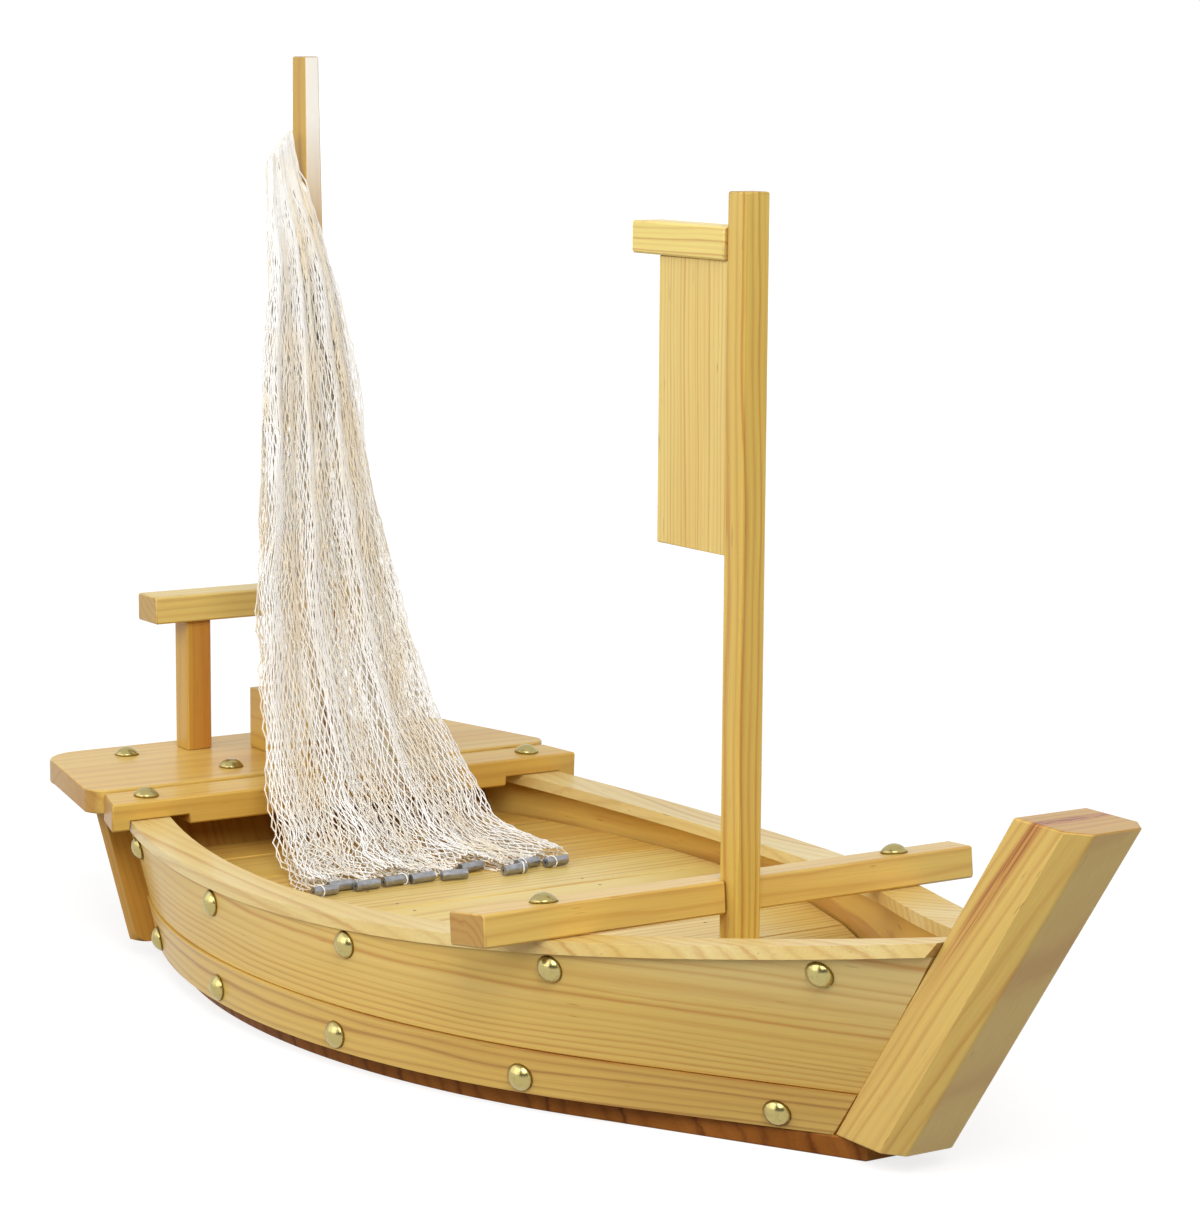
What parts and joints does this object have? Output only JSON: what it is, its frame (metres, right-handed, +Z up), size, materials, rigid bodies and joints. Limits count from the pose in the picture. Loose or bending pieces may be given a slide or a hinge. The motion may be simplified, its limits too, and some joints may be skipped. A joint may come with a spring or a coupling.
{
  "type": "sushi boat",
  "caption": "Wooden serving boat for sushi: planked hull with a raised floor, beams across the rails, stern deck, and two lift-out masts, one with a wooden sail, one with a weighted net.",
  "frame": {"origin": "on the table under the bottom board's middle line, about 100 mm behind the forward mast", "axes": "+X to the bow along the boat, +Y to port, +Z up from the table"},
  "size_m": [0.6233, 0.249, 0.3865],
  "materials": {
    "pine": "satin varnish",
    "pale_pine": "satin varnish",
    "dark_pine": "satin varnish",
    "brass": "polished",
    "steel": "plain wire",
    "lead": "dull grey lead",
    "cotton": "knotted thread"
  },
  "bodies": {
    "hull": {"bottom_board": "dark_pine", "stem_post": "pale_pine", "transom": "pine", "lower_strake_port": "pine", "lower_strake_starboard": "pine", "upper_strake_port": "pine", "upper_strake_starboard": "pine", "cap_rail_port": "pale_pine", "cap_rail_starboard": "pale_pine", "floor_board_1": "pine", "floor_board_2": "pine", "floor_board_3": "pine", "floor_board_4": "pine", "floor_board_5": "pine", "floor_board_6": "pine", "floor_board_7": "pine", "floor_board_8": "pine", "floor_board_9": "pine", "floor_board_10": "pine", "floor_board_11": "pine", "floor_bearer_port": "dark_pine", "floor_bearer_starboard": "dark_pine", "bow_bearer": "dark_pine", "floor_brads": "steel", "aft_beam": "pale_pine", "forward_beam": "pale_pine", "beam_nails": "brass", "stern_deck": "pale_pine", "deck_nails": "brass", "rail_post_port": "dark_pine", "rail_post_starboard": "dark_pine", "stern_rail": "pale_pine", "forward_mast_step": "dark_pine", "rear_mast_step": "pale_pine", "strake_nails": "brass"},
    "forward_mast_body": {"forward_mast": "pine", "sail_yard": "pale_pine", "sail_panel": "pine"},
    "rear_mast_body": {"rear_mast": "pine", "net": "cotton", "net_sinkers": "lead"}
  },
  "joints": [
    {"name": "forward_mast_lift", "type": "slide", "parent": "hull", "child": "forward_mast_body", "axis": [0, 0, 1], "range_m": [0, 0.1]},
    {"name": "rear_mast_lift", "type": "slide", "parent": "hull", "child": "rear_mast_body", "axis": [0, 0, 1], "range_m": [0, 0.1]}
  ]
}
